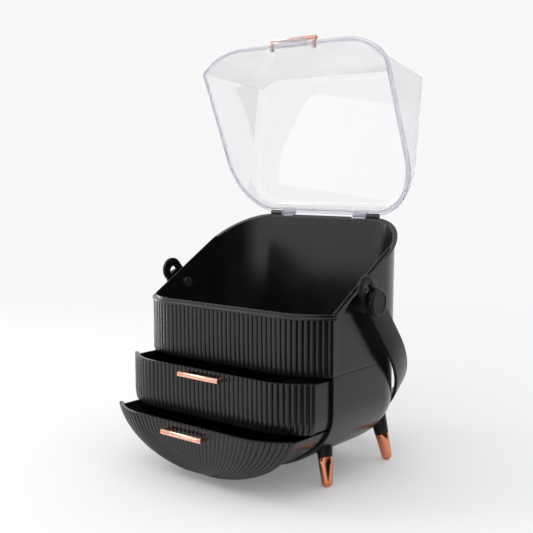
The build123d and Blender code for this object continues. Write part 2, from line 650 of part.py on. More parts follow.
# Hinge pins, fast in the tray's lugs; knobs and their screws, which turn with the strap
for side, hand in ((-1, "left"), (1, "right")):
    with BuildPart() as hinge_pin:
        rod(side * (KNUCKLE_X[0] + 1), side * (LUG_X[1] - WALL), HINGE_Y, HINGE_Z, HINGE_PIN_R)
    hinge_pin.part.label = f"hinge_pin_{hand}"
    export_step(hinge_pin.part, f"parts/hinge_pin_{hand}.step")

    with BuildPart() as spacer:
        rod(side * HALF_WIDTH, side * (HALF_WIDTH + SPACER_THICK), KNOB_Y, KNOB_Z, SPACER_R)
        rod(
            side * (HALF_WIDTH - 1), side * (HALF_WIDTH + SPACER_THICK + 1), KNOB_Y, KNOB_Z,
            STEM_R + STEM_GAP, mode=Mode.SUBTRACT,
        )
    spacer.part.label = f"handle_spacer_{hand}"
    export_step(spacer.part, f"parts/handle_spacer_{hand}.step")

    with BuildPart() as knob:
        rod(side * KNOB_IN, side * (KNOB_IN + KNOB_THICK), KNOB_Y, KNOB_Z, KNOB_R)
        fillet(faces().sort_by(Axis.X)[-1 if side > 0 else 0].edges(), KNOB_EDGE)
        rod(
            side * (KNOB_IN + KNOB_THICK - KNOB_DISH), side * (KNOB_IN + KNOB_THICK), KNOB_Y, KNOB_Z,
            KNOB_DISH_R, mode=Mode.SUBTRACT,
        )
        rod(side * STEM_END, side * (KNOB_IN + 1), KNOB_Y, KNOB_Z, STEM_R)
        rod(
            side * STEM_END, side * (STEM_END + KNOB_SCREW_BITE), KNOB_Y, KNOB_Z, KNOB_SCREW_R,
            mode=Mode.SUBTRACT,
        )
    knob.part.label = f"handle_knob_{hand}"
    export_step(knob.part, f"parts/handle_knob_{hand}.step")

    with BuildPart() as knob_screw:
        rod(side * STEM_END, side * (STEM_END + KNOB_SCREW_BITE), KNOB_Y, KNOB_Z, KNOB_SCREW_R)
        rod(side * (STEM_END - KNOB_SCREW_HEAD), side * STEM_END, KNOB_Y, KNOB_Z, KNOB_SCREW_HEAD_R)
    knob_screw.part.label = f"handle_knob_screw_{hand}"
    export_step(knob_screw.part, f"parts/handle_knob_screw_{hand}.step")

# Strap: two straight ends with keyhole slots and a half round bow between them
LEAN = radians(STRAP_LEAN)
DOWN = (0, sin(LEAN), -cos(LEAN))
ACROSS = (0, cos(LEAN), sin(LEAN))
with BuildPart() as carry_strap:
    bow_place = Plane(origin=(0, CREASE_Y + KNOB_Y, KNOB_Z), x_dir=(1, 0, 0), z_dir=ACROSS)
    with BuildSketch(bow_place) as strap_bow:
        with Locations((0, STRAP_STRAIGHT)):
            Circle(STRAP_OUT)
            Circle(STRAP_IN, mode=Mode.SUBTRACT)
            Rectangle(3 * STRAP_OUT, 2 * STRAP_OUT, align=(Align.CENTER, Align.MAX), mode=Mode.SUBTRACT)
    extrude(amount=STRAP_WIDTH / 2, both=True)
    for x in (-STRAP_OUT, STRAP_IN):
        end_place = Plane(origin=(x, CREASE_Y + KNOB_Y, KNOB_Z), x_dir=DOWN, z_dir=(1, 0, 0))
        with BuildSketch(end_place) as strap_end:
            with Locations(((STRAP_STRAIGHT - STRAP_END) / 2, 0)):
                Rectangle(STRAP_STRAIGHT + STRAP_END, STRAP_WIDTH)
            with Locations((-STRAP_END, 0)):
                Circle(STRAP_WIDTH / 2)
            with Locations((0, 0), (-SLOT_THROW, 0)):
                Circle(SLOT_LOBE_R, mode=Mode.SUBTRACT)
            with Locations((-SLOT_THROW / 2, 0)):
                Rectangle(SLOT_THROW, 2 * (STEM_R + SLOT_GAP), mode=Mode.SUBTRACT)
        extrude(strap_end.sketch, amount=STRAP_THICK)
carry_strap.part.label = "carry_strap"
export_step(carry_strap.part, "parts/carry_strap.step")

# Legs: a cone scribed to the housing with a plug through its wall, and a tip on a spigot
for place_name, leg_place in LEGS.items():
    with BuildPart() as leg_plug:
        with Locations(leg_place.location):
            Cylinder(PLUG_R, LEG_TOP + 8, align=STANDING)
        add(casing_block.part, mode=Mode.INTERSECT)
        add(casing_room.part, mode=Mode.SUBTRACT)

    with BuildPart() as leg_cone:
        with Locations(leg_place.location * Location((0, 0, TIP_TOP))):
            Cone(TIP_TOP_R, LEG_TOP_R, LEG_TOP - TIP_TOP, align=STANDING)
        add(casing_block.part, mode=Mode.SUBTRACT)
        add(leg_plug.part)
        with Locations(leg_place.location * Location((0, 0, TIP_TOP))):
            Cylinder(
                SPIGOT_R + SPIGOT_GAP, 2 * (SPIGOT_DEEP + 0.5),
                align=(Align.CENTER, Align.CENTER, Align.CENTER), mode=Mode.SUBTRACT,
            )
    leg_cone.part.label = f"leg_{place_name}"
    export_step(leg_cone.part, f"parts/leg_{place_name}.step")

    with BuildPart() as leg_tip:
        with Locations(leg_place.location):
            Sphere(FOOT_R)
            Cone(FOOT_R, TIP_TOP_R, TIP_TOP, align=STANDING)
            Cylinder(SPIGOT_R, TIP_TOP + SPIGOT_DEEP, align=STANDING)
        with Locations((0, 0, 0)):
            Box(3 * HALF_WIDTH, 3 * HALF_WIDTH, 20, align=HANGING_FREE, mode=Mode.SUBTRACT)
    leg_tip.part.label = f"leg_tip_{place_name}"
    export_step(leg_tip.part, f"parts/leg_tip_{place_name}.step")
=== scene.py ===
import bmesh
import bpy
import json
import numpy as np
from math import asin, cos, pi, radians, sin, tan
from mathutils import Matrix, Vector


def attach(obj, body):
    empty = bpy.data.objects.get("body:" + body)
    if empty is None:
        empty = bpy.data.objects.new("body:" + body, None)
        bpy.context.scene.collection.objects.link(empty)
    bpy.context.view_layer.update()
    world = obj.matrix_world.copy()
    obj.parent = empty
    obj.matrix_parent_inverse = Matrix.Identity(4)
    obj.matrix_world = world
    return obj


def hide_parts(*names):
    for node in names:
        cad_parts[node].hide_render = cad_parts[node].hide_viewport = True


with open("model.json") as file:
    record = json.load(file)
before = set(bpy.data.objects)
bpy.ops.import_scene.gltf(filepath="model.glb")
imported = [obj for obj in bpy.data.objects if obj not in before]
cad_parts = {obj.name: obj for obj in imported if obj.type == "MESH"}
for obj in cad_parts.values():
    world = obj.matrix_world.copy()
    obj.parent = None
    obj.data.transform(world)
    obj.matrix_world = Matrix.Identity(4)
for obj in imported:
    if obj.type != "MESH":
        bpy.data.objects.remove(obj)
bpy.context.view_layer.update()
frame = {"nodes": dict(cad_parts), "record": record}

# Sizes of the unit in millimetres, as in the part's source; y counts from the front creases
CREASE_Y = -52.8
HALF_WIDTH, FRONT_BOW, FRONT_FLAT = 128.0, 23.5, 74.0
BACK_DEPTH, BACK_LEAN, CORNER_R, WALL = 151.0, 2.0, 56.0, 2.6
BELLY_Z, BELLY_DEPTH, UNDERSIDE_Z = 84.0, 74.0, 12.0
FRONT_RECEDE, BACK_RECEDE = 1.5, 0.25
SEAM_Z, SEAM_GAP, RIM_Z, FLOOR = 122.8, 0.4, 183.1, 2.6
SLOPE = tan(radians(30.4))
REEDS, REED_PROUD = 44, 1.3
LEDGE_OUT, LEDGE_THICK, LIP_INSET, LIP_HEIGHT, LIP_END = 3.0, 2.5, 1.4, 3.0, 105.0
REAR_WALL = BACK_DEPTH + BACK_LEAN
HINGE_Y, HINGE_Z, LID_OPEN = 158.0, 275.6, 97.4
BARREL_R, LUG_X, KNUCKLE_X = 3.2, (62.6, 78.4), (44.0, 62.1)
REACH = HALF_WIDTH - FRONT_FLAT
BOW_R = (REACH**2 + FRONT_BOW**2) / (2 * FRONT_BOW)
FLAT_SHARE = FRONT_FLAT / (FRONT_FLAT + BOW_R * asin(REACH / BOW_R))
HULL_INSET, DRAWER_WALL, DRAWER_BACK, DRAWER_CORNER_R = 3.4, 2.2, 128.0, 34.0
UPPER_OUT, LOWER_OUT, UPPER_PULL_Z, LOWER_PULL_Z = 30.0, 57.5, 115.2, 58.8
LID_REST, LID_ROUND, LID_OUT, LID_WALL = 183.4, 10.0, 1.4, 1.8
LID_TOP = RIM_Z + SLOPE * (REAR_WALL + LID_OUT) + 12.3
LID_INSET, LID_BACK_INSET, LID_FLANGE_OUT = 9.5, 1.6, 2.8
KNOB_Y, KNOB_Z, STRAP_LEAN, STRAP_STRAIGHT = 53.0, 194.0, 39.6, 65.0
STRAP_IN, STRAP_OUT, KNOB_IN, KNOB_OUT = 137.3, 141.2, 141.5, 147.5

# Points at which a level sheet's faces meet, in the tray and the lid and in the drawers
POLE_Y, DRAWER_POLE_Y = 60.0, 40.0

# Tray: what is cut away for the lid's knuckles, the lugs and the stop for the upper drawer
NOTCH_X, NOTCH_BEHIND = (42.9, 62.65), 140.0
LUG_DOWN = 11.5
STOP_X, STOP_Y, STOP_Z = 30.0, (17.4, 20.0), 116.8

# Housing: the tabs that the tray is screwed to and the rails under the lower drawer
TAB_X, TAB_Y, TAB_HALF, TAB_Z = (112.4, 126.5), (16.0, 100.0), 6.0, (120.0, 122.4)
RAIL_X, RAIL_Y, RAIL_Z = (15.5, 20.5), (1.0, 94.0), (14.0, 15.1)

# Drawers: inside of the front, floor, rounded top edge, and where the front's back face stands
INSIDE_BOW, DRAWER_FLOOR, DRAWER_CREST, FRONT_END = 20.9, 2.4, 0.6, -0.5

# Lid: the notch for the lugs, the flange's section as shares of its reach and heights above the rim,
# the rows of points next to the rim, and where the knuckles join the lid's rear wall
LID_NOTCH_X, LID_NOTCH_BEHIND = (62.12, 79.02), 148.0
FLANGE = ((0, 2.0), (0.85, 2.0), (0.96, 2.12), (1, 2.5), (1, 3.4), (0.95, 3.8), (0.8, 4.0), (0, 4.0))
FLANGE_TOP, OVER_FLANGE, NEAR_RIM = 4.0, 4.2, 6.2
KNUCKLE_FRONT, KNUCKLE_UP = 0.8, 4.7

# Latch tab and pull bars
LATCH_HALF, LATCH_THICK, LATCH_DOWN, LATCH_UP = 24.0, 2.0, 6.0, 8.0
WEB_HALF, WEB_END = 21.5, -24.3
PULL_LENGTH, LID_PULL_LENGTH, LID_PULL_FACE = 57.0, 65.0, -24.11
PULL_OFF, BAR_DEPTH, BAR_HALF, POST_R, POST_IN = 6.5, 4.2, 2.75, 2.5, 5.0

# Strap: half its width, its edges' rounding, where it starts below the knob, and the plates at its
# ends, each with two wider lobes joined by a slot; the plate's and the lobes' distances run along the
# strap from the slot's middle, and the slot's middle is counted from the knob
STRAP_HALF, STRAP_EDGE, STRAP_FROM = 14.0, 1.0, 6.0
PLATE_AHEAD, PLATE_ROUND, SLOT_MIDDLE = 15.0, 11.0, -9.0
LOBE_AWAY, LOBE_R, SLOT_HALF = 9.0, 5.5, 4.75

# Knobs and the collars behind the strap, from the unit's middle outwards
STEM_END, STEM_R, KNOB_R, KNOB_ROUND, DISH_R, DISH_DEPTH = 125.3, 4.5, 14.5, 1.6, 11.2, 0.6
SPACER_IN, SPACER_OUT, SPACER_R, SPACER_BORE = 127.8, 137.0, 13.0, 4.55

# Legs: middle of the foot, splay, the tip's top along the leg, the cone's radius there and how fast it
# widens, the foot's radius, the furthest that a cone reaches and how deep it goes into the wall
FOOT_X, FOOT_FRONT, FOOT_REAR, FOOT_Z = 106.8, 19.8, 136.5, 5.6
SPLAY_X, SPLAY_Y = 0.198, 0.126
TIP_TOP, TIP_TOP_R, LEG_WIDENS, FOOT_R, LEG_REACH, LEG_SINK = 25.6, 7.9, 2.3 / 32.4, 6.05, 75.0, 1.2

# Shares along an outline where its columns of points stand; on the bend and the back, pairs of them
# stand close together where a notch begins or ends
PLACES = np.linspace(-1, 1, REEDS * 10 + 1)[None, :]
SIDE = np.linspace(0, 1, 9)[None, :-1]
BEND = np.sort(np.append(np.linspace(0, pi / 2, 25)[:-1], (1.4468, 1.4494)))[None, :]
HALF_BACK = np.array([72.0, 67.0, 62.75, 62.6, 62.2, 62.05, 53.0, 43.0, 42.85, 30.0, 15.0]) / 72.0
MIDDLE = np.concatenate([HALF_BACK, [0.0], -HALF_BACK[::-1]])[None, :]


# Outlines in plan

def keep(z, inset=0.0):
    """Share of its half width that the casing keeps at height z: an ellipse below the belly."""
    drop = np.clip((BELLY_Z - np.asarray(z, float)) / (BELLY_DEPTH - inset), 0.0, 1.0)
    return np.sqrt(1.0 - drop**2)


def lean(z):
    """How far the back stands behind its place at the belly: it grows evenly with the height z."""
    return BACK_LEAN * np.clip(z - BELLY_Z, 0, None) / (HINGE_Z - BELLY_Z)


def front_line(width, bow, flat, lift=0.0):
    """Front from the left crease to the right one: straight across the flat, then on each side a
    circular arc that is tangent to it and ends at the crease; lift moves it out along its normal."""
    radius = ((width - flat) ** 2 + bow**2) / (2 * bow)
    turn = np.clip((abs(PLACES) - FLAT_SHARE) / (1 - FLAT_SHARE), 0, 1)
    turn = turn * np.arcsin((width - flat) / radius)
    along = np.minimum(abs(PLACES) / FLAT_SHARE, 1) * flat
    x = np.sign(PLACES) * (along + (radius + lift) * np.sin(turn))
    return x, radius - bow - (radius + lift) * np.cos(turn)


def rear_line(width, back, corner):
    """Sides and back, from the right crease round to the left one: straight side, quarter circle,
    straight back, and the same mirrored."""
    side = SIDE * np.ones_like(width)
    x = [width * np.ones_like(side), width - corner + corner * np.cos(BEND), (width - corner) * MIDDLE]
    y = [side * (back - corner), back - corner + corner * np.sin(BEND), back * np.ones_like(x[2])]
    x = np.hstack(x + [-x[1][:, ::-1], -x[0][:, ::-1]])
    return x, np.hstack(y + [y[1][:, ::-1], y[0][:, ::-1]])


def all_round(width, bow, flat, back, corner, lift=0.0):
    """Whole outline in plan, its front and its rear joined at the creases."""
    front, rear = front_line(width, bow, flat, lift), rear_line(width, back, corner)
    return np.hstack([front[0], rear[0]]), np.hstack([front[1], rear[1]])


def reed():
    """Height of the reeds across the front: 1 less the cube of the share of the way from a reed's
    middle to the groove beside it."""
    phase = (PLACES + 1) / 2 * REEDS % 1.0
    return 1 - abs(2 * phase - 1) ** 3.0


def column(values):
    """Values as a column, one for each row of a grid."""
    return np.asarray(values, float)[:, None]


def eased(corners, steps=4):
    """Section with its corners rounded: a corner is its coordinates and then a rounding, which turns
    it into a short parabola that begins and ends that far from the corner."""
    points = np.asarray([corner[:-1] for corner in corners], float)
    share = np.linspace(0, 1, steps + 1)[:, None]
    line = []
    for i, corner in enumerate(corners):
        if not corner[-1]:
            line.append(points[i : i + 1])
            continue
        ends = []
        for other in (points[i - 1], points[i + 1]):
            way = other - points[i]
            ends.append(points[i] + way * min(corner[-1] / np.linalg.norm(way[:2]), 0.5))
        bend = (1 - share) ** 2 * ends[0] + 2 * share * (1 - share) * points[i] + share**2 * ends[1]
        line.append(bend)
    return np.vstack(line)


# Blocks: a block is a list of points in millimetres and a list of four-sided faces

def quads(rows, columns, round_trip=True, loop=False):
    """Faces of a grid of points; round_trip joins its last column to its first, loop its last row
    to its first."""
    index = np.arange(rows * columns).reshape(rows, columns)
    if round_trip:
        index = np.hstack([index, index[:, :1]])
    if loop:
        index = np.vstack([index, index[:1]])
    corners = [index[:-1, :-1], index[:-1, 1:], index[1:, 1:], index[1:, :-1]]
    return np.stack(corners, axis=-1).reshape(-1, 4)


def stacked(x, y, z):
    """Grid of points from three grids that broadcast together."""
    return np.stack(np.broadcast_arrays(x, y, z), axis=-1)


def closed(grid, start, end):
    """Block of a grid that goes round, its first and last rows drawn together at two points."""
    poles = [np.broadcast_to(np.asarray(point, float), grid[:1].shape) for point in (start, end)]
    grid = np.concatenate([poles[0], grid, poles[1]])
    return grid.reshape(-1, 3), quads(grid.shape[0], grid.shape[1])


def turned(profile, origin, axis, columns, loop=False):
    """Block turned about an axis: profile is distance along the axis and radius, row by row, and
    each row is a circle about the axis."""
    along, radius = column(np.asarray(profile)[:, 0]), column(np.asarray(profile)[:, 1])
    axis = np.asarray(axis, float) / np.linalg.norm(axis)
    first = np.cross(axis, (0.0, 0.0, 1.0) if abs(axis[2]) < 0.9 else (1.0, 0.0, 0.0))
    first /= np.linalg.norm(first)
    second = np.cross(axis, first)
    angle = np.linspace(0, 2 * pi, columns, endpoint=False)[None, :]
    grid = np.asarray(origin, float) + along[..., None] * axis
    grid = grid + (radius * np.cos(angle))[..., None] * first
    grid = grid + (radius * np.sin(angle))[..., None] * second
    return grid.reshape(-1, 3), quads(len(profile), columns, loop=loop)


def plate(low, high, axis, corner, edge, steps=7):
    """Block with rounded corners between two points: its outline, square to the axis, is a rectangle
    with quarter circles, and it draws in by a quarter circle of radius edge at both faces."""
    low, high = np.asarray(low, float), np.asarray(high, float)
    across = [i for i in range(3) if i != axis]
    middle, half = (low + high) / 2, (high - low) / 2
    turn = np.linspace(0, pi / 2, 5)
    inset = edge * (1 - np.sin(turn))
    inset = column(np.concatenate([inset, inset[::-1]]))
    level = edge * (1 - np.cos(turn))
    level = np.concatenate([low[axis] + level, high[axis] - level[::-1]])
    bend = np.concatenate([quarter * pi / 2 + np.linspace(0, pi / 2, steps) for quarter in range(4)])
    signs = [np.repeat([1, -1, -1, 1], steps), np.repeat([1, 1, -1, -1], steps)]
    grid = np.empty((len(level), len(bend), 3))
    for i, wave, sign in zip(across, (np.cos(bend), np.sin(bend)), signs):
        grid[..., i] = middle[i] + sign * (half[i] - corner) + (corner - inset) * wave
    grid[..., axis] = column(level)
    start, end = middle.copy(), middle.copy()
    start[axis], end[axis] = low[axis], high[axis]
    return closed(grid, start, end)


def prism(outline, x_from, x_to, edge=0.35):
    """Block of an outline in y and z, drawn along x, its two ends slightly smaller."""
    outline = np.asarray(outline, float)
    centre = outline.mean(axis=0)
    size = abs(outline - centre).max()
    share = 1 - column([edge, edge / 4, 0, 0, edge / 4, edge]) / size
    x = column([x_from, x_from + edge / 3, x_from + edge, x_to - edge, x_to - edge / 3, x_to])
    grid = stacked(x, centre[0] + share * (outline[:, 0] - centre[0]),
                   centre[1] + share * (outline[:, 1] - centre[1]))
    return closed(grid, (x_from, *centre), (x_to, *centre))


def settle(name, blocks, body, slot, material, *nodes, sharp=32.0):
    """Makes one piece from blocks: doubles merged, faces outwards, edges over the angle sharp, place
    in the mesh, object at the origin, riding on a body in the place of its nodes."""
    starts = np.cumsum([0] + [len(points) for points, _ in blocks[:-1]])
    points = np.vstack([points for points, _ in blocks]) + (0.0, CREASE_Y, 0.0)
    faces = np.vstack([faces + start for (_, faces), start in zip(blocks, starts)])
    mesh = bpy.data.meshes.new(name)
    mesh.from_pydata(points * 0.001, [], faces)
    work = bmesh.new()
    work.from_mesh(mesh)
    bmesh.ops.remove_doubles(work, verts=work.verts, dist=2e-6)
    bmesh.ops.dissolve_degenerate(work, edges=work.edges, dist=1e-6)
    bmesh.ops.recalc_face_normals(work, faces=work.faces)
    work.to_mesh(mesh)
    work.free()
    mesh.validate()
    mesh.polygons.foreach_set("use_smooth", np.ones(len(mesh.polygons), bool))
    mesh.set_sharp_from_angle(angle=radians(sharp))
    mesh.materials.append(material)
    piece = bpy.data.objects.new(name, mesh)
    bpy.context.scene.collection.objects.link(piece)
    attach(piece, body)
    if nodes:
        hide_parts(*nodes)
    return piece


# Pieces

def tray():
    """Tray: its section runs from under the floor up the reeded wall, round the ledge and the lip
    and down inside; a corner is inset, height, whether that counts from the ledge, reeds, rounding."""
    line = eased([
        (6.0, SEAM_Z, 0, 1, 0), (0.0, SEAM_Z, 0, 1, 0.5), (0.0, SEAM_Z + 6, 0, 1, 0),
        (0.0, -LEDGE_THICK, 1, 1, 0), (-LEDGE_OUT, -LEDGE_THICK, 1, 0, 0.6), (-LEDGE_OUT, 0.0, 1, 0, 0.9),
        (LIP_INSET, 0.0, 1, 0, 0.3), (LIP_INSET, LIP_HEIGHT, 1, 0, 0.5), (WALL, LIP_HEIGHT, 1, 0, 0.5),
        (WALL, -5.0, 1, 0, 0), (WALL, SEAM_Z + FLOOR + 8, 0, 0, 0), (WALL, SEAM_Z + FLOOR, 0, 0, 3.0),
        (12.0, SEAM_Z + FLOOR, 0, 0, 0),
    ])
    inset, level, on_ledge, reeded = (line[:, i : i + 1] for i in range(4))
    x, y = all_round(HALF_WIDTH - inset, FRONT_BOW - inset, FRONT_FLAT, BACK_DEPTH - inset,
                     CORNER_R - inset, REED_PROUD * np.clip(reeded, 0, 1) * reed())
    notch = (abs(x) > NOTCH_X[0]) & (abs(x) < NOTCH_X[1]) & (y > NOTCH_BEHIND)
    y = np.where(notch, np.minimum(y, BACK_DEPTH), y)
    fade = np.where(level > 0, np.clip((LIP_END + 0.5 - y) / 2.5, 0, 1), 1.0)
    back_share = np.clip(y / (BACK_DEPTH - CORNER_R), 0, 1)
    ledge = RIM_Z + SLOPE * np.clip(y, 0, None)
    ledge = ledge + SLOPE * lean(ledge) * back_share
    z = (1 - on_ledge) * level + on_ledge * (ledge + level * fade)
    y = y + lean(z) * back_share
    blocks = [closed(stacked(x, y, z), (0, POLE_Y, SEAM_Z), (0, POLE_Y, SEAM_Z + FLOOR))]
    turn = np.linspace(-0.9, 3.65, 30)
    lug = [(REAR_WALL - 1, HINGE_Z - LUG_DOWN)]
    lug += [(HINGE_Y + BARREL_R * cos(a), HINGE_Z + BARREL_R * sin(a)) for a in turn]
    lug += [(REAR_WALL - 1, RIM_Z + SLOPE * (REAR_WALL - 1) - 0.1)]
    for side in (-1, 1):
        ends = sorted((side * LUG_X[0], side * LUG_X[1]))
        blocks.append(prism(lug, *ends))
    blocks.append(plate((-STOP_X, STOP_Y[0], STOP_Z), (STOP_X, STOP_Y[1], SEAM_Z + 0.3), 1, 0.9, 0.5))
    return blocks


def housing():
    """Housing: a wall of even thickness round an open front, its outside and inside each a stack of
    level sections, narrowing below the belly as a quarter ellipse does."""
    turn = np.linspace(0, 1, 34)[:, None]
    outside = BELLY_Z - BELLY_DEPTH * np.sin(turn * asin((BELLY_Z - UNDERSIDE_Z) / BELLY_DEPTH))
    depth = BELLY_DEPTH - WALL
    inside = BELLY_Z - depth * np.sin(turn * asin((BELLY_Z - UNDERSIDE_Z - WALL) / depth))
    top = SEAM_Z - SEAM_GAP
    outside = np.vstack([[[top]], [[BELLY_Z + 8]], outside])
    inside = np.vstack([[[top]], [[BELLY_Z + 8]], inside])
    rows = []
    for z, inset in ((outside, 0.0), (inside, WALL)):
        share = keep(z, inset)
        x, y = rear_line((HALF_WIDTH - inset) * share, (BACK_DEPTH - inset) * share**BACK_RECEDE,
                         (CORNER_R - inset) * share)
        y = y + lean(z) * np.clip(y / (BACK_DEPTH - CORNER_R), 0, 1)
        rows.append(stacked(x, y, z))
    outer, inner = rows
    count, columns = outer.shape[:2]
    spines = [outer[-1:] * (0, 1, 1), inner[-1:] * (0, 1, 1)]
    grid = np.concatenate([outer, *spines, inner[::-1]])
    total = grid.shape[0]
    faces = [quads(total, columns, round_trip=False, loop=True)]
    step = np.arange(count)
    for place in (0, columns - 1):
        ends = np.stack([step, step + 1, total - 2 - step, total - 1 - step], axis=1)
        faces.append(ends * columns + place)
    blocks = [(grid.reshape(-1, 3), np.vstack(faces))]
    for side in (-1, 1):
        wide = sorted((side * TAB_X[0], side * TAB_X[1]))
        for y in TAB_Y:
            low, high = (wide[0], y - TAB_HALF, TAB_Z[0]), (wide[1], y + TAB_HALF, TAB_Z[1])
            blocks.append(plate(low, high, 2, 2.0, 0.5))
        rail = sorted((side * RAIL_X[0], side * RAIL_X[1]))
        low, high = (rail[0], RAIL_Y[0], RAIL_Z[0]), (rail[1], RAIL_Y[1], RAIL_Z[1])
        blocks.append(plate(low, high, 2, 1.0, 0.3))
    return blocks


def drawer(top, bottom, sides, seat, ahead):
    """Drawer: one cup whose outside is the reeded front ahead and the narrower box behind. Each row
    follows the hull at its own height, and the top edge runs from the outside to the inside. The
    front stands between bottom and top, the box between seat and sides."""
    share = np.linspace(0, 1, 30)[:, None]
    share = 1 - (1 - share) ** 0.8

    def outline(front_z, rear_z, inner=False):
        """Points of one row, front and rear at their own heights; inner gives the cup's inside."""
        inset = HULL_INSET + DRAWER_WALL
        front_inset = inset if inner else 0.0
        part = keep(front_z, front_inset)
        bow = (INSIDE_BOW if inner else FRONT_BOW) * part**FRONT_RECEDE
        lift = 0.0 if inner else REED_PROUD * part * reed()
        x, y = front_line((HALF_WIDTH - front_inset) * part, bow, FRONT_FLAT * part, lift)
        y = y if inner else np.minimum(y, FRONT_END)
        inset = inset if inner else HULL_INSET
        thick = DRAWER_WALL if inner else 0.0
        part = keep(rear_z, inset)
        rear_x, rear_y = rear_line((HALF_WIDTH - inset) * part,
                                   (DRAWER_BACK - thick) * part**BACK_RECEDE,
                                   (DRAWER_CORNER_R - inset) * part)
        rear_y = rear_y + lean(rear_z) * np.clip(rear_y / (DRAWER_BACK - DRAWER_CORNER_R), 0, 1)
        heights = np.hstack([front_z * np.ones_like(x), rear_z * np.ones_like(rear_x)])
        return stacked(np.hstack([x, rear_x]), np.hstack([y, rear_y]), heights)

    outer = outline(bottom + (top - DRAWER_CREST - bottom) * share,
                    seat + (sides - DRAWER_CREST - seat) * share)
    floor = seat + DRAWER_FLOOR
    inner = outline(floor + (top - DRAWER_CREST - floor) * share[::-1],
                    floor + (sides - DRAWER_CREST - floor) * share[::-1], inner=True)
    across = column([0.03, 0.1, 0.25, 0.75, 0.9, 0.97])[..., None]
    rise = column([0.65, 0.92, 1.0, 1.0, 0.92, 0.65])
    edge = outer[-1:] * (1 - across) + inner[:1] * across
    edge[..., 2] += DRAWER_CREST * rise
    front = PLACES.shape[1]
    under = np.concatenate([outer[:1], outer[:1]])
    under[:, :front, 1] = FRONT_END
    under[0, :, 2] = seat
    under[0, :front, 0] = np.clip(under[1, :front, 0], -outer[0, front, 0], outer[0, front, 0])
    grid = np.concatenate([under, outer, edge, inner])
    points, faces = closed(grid, (0, DRAWER_POLE_Y, seat), (0, DRAWER_POLE_Y, floor))
    return [(points - (0, ahead, 0), faces)]


def at_height(rows, z):
    """Points at given heights on a stack of rows that climbs, one height for each column: each lies
    on the straight line between the rows under and over it."""
    above = np.clip((rows[..., 2] < z).sum(axis=0), 1, len(rows) - 1)[None, :, None]
    low, high = np.take_along_axis(rows, above - 1, 0)[0], np.take_along_axis(rows, above, 0)[0]
    share = (z - low[:, 2]) / (high[:, 2] - low[:, 2])
    return (low + (high - low) * np.clip(share, 0, 1)[:, None])[None]


def lid_rim(inset):
    """Outline of the shut lid's rim, which climbs behind the creases as the tray's ledge does."""
    inset = column([inset])
    width = HALF_WIDTH + LID_OUT - inset
    x, y = all_round(width, FRONT_BOW + LID_OUT - inset, FRONT_FLAT * width / HALF_WIDTH,
                     REAR_WALL + LID_OUT - inset, CORNER_R + LID_OUT - inset)
    return stacked(x, y, LID_REST + SLOPE * np.clip(y, 0, None))


def lid_crown(wall, turn):
    """Level outlines of the shut lid's crown where its rounding, a quarter circle, has turned this
    far."""
    turn = column(turn)
    inset = LID_INSET + wall + (LID_ROUND - wall) * (1 - np.cos(turn))
    width = HALF_WIDTH + LID_OUT - inset
    back = REAR_WALL + LID_OUT - LID_BACK_INSET + LID_INSET - inset
    x, y = all_round(width, FRONT_BOW + LID_OUT - inset, FRONT_FLAT * width / HALF_WIDTH, back,
                     CORNER_R + LID_OUT - inset)
    return stacked(x, y, LID_TOP - LID_ROUND + (LID_ROUND - wall) * np.sin(turn))


def lid():
    """Shut lid: rows from the middle of its inside down to the rim, out round the flange and up over
    the crown, then two hinge knuckles; all turned open about the hinge."""
    turn = np.linspace(0, pi / 2, 14)
    outside = np.concatenate([lid_rim(0.0), lid_crown(0.0, np.linspace(0, pi / 2, 40))])
    rim = outside[0]
    edge = lid_rim(-LID_FLANGE_OUT)[0]
    wide = abs(rim[:, 0])
    notch = (wide > LID_NOTCH_X[0]) & (wide < LID_NOTCH_X[1]) & (rim[:, 1] > LID_NOTCH_BEHIND)
    flange = []
    for out, up in FLANGE:
        base = at_height(outside, rim[:, 2] + up)
        base[..., :2] += (edge - base[0])[:, :2] * out * ~notch[:, None]
        flange.append(base)
    start = np.arcsin(np.clip((rim[:, 2] + FLANGE_TOP - LID_TOP + LID_ROUND) / LID_ROUND, 0, 1))
    crown = []
    for share in np.linspace(0, 1, 14):
        height = LID_TOP - LID_ROUND + LID_ROUND * np.sin(start + (pi / 2 - start) * share)
        crown.append(at_height(outside, height + (0.01 if share == 0 else 0.0)))
    crown_start = LID_TOP - LID_ROUND - 0.01
    climb = np.concatenate([lid_rim(LID_WALL), lid_crown(LID_WALL, turn)])
    near_rim = [np.minimum(climb[0, :, 2] + up, crown_start) for up in (NEAR_RIM, OVER_FLANGE)]
    inside = np.concatenate([climb[:0:-1], *(at_height(climb, z) for z in near_rim), climb[:1]])
    wall_rows = np.minimum(rim[:, 2] + NEAR_RIM, np.maximum(rim[:, 2] + FLANGE_TOP, crown_start))
    crown.insert(0, at_height(outside, wall_rows + 0.005))
    pole = (0, POLE_Y, 0)
    flat = [(row - pole) * (0.985, 0.985, 1) + pole for row in (inside[:1], crown[-1])]
    grid = np.concatenate([flat[0], inside, rim[None], *flange, *crown, flat[1]])
    blocks = [closed(grid, (0, POLE_Y, LID_TOP - LID_WALL), (0, POLE_Y, LID_TOP))]
    turn = np.linspace(-pi, 0.9, 26)
    knuckle = [(REAR_WALL + KNUCKLE_FRONT, HINGE_Z + KNUCKLE_UP), (REAR_WALL + KNUCKLE_FRONT, HINGE_Z)]
    knuckle += [(HINGE_Y + BARREL_R * cos(a), HINGE_Z + BARREL_R * sin(a)) for a in turn]
    knuckle += [(HINGE_Y, HINGE_Z + KNUCKLE_UP)]
    for side in (-1, 1):
        ends = sorted((side * KNUCKLE_X[0], side * KNUCKLE_X[1]))
        blocks.append(prism(knuckle, *ends))
    return [(opened(points), faces) for points, faces in blocks]


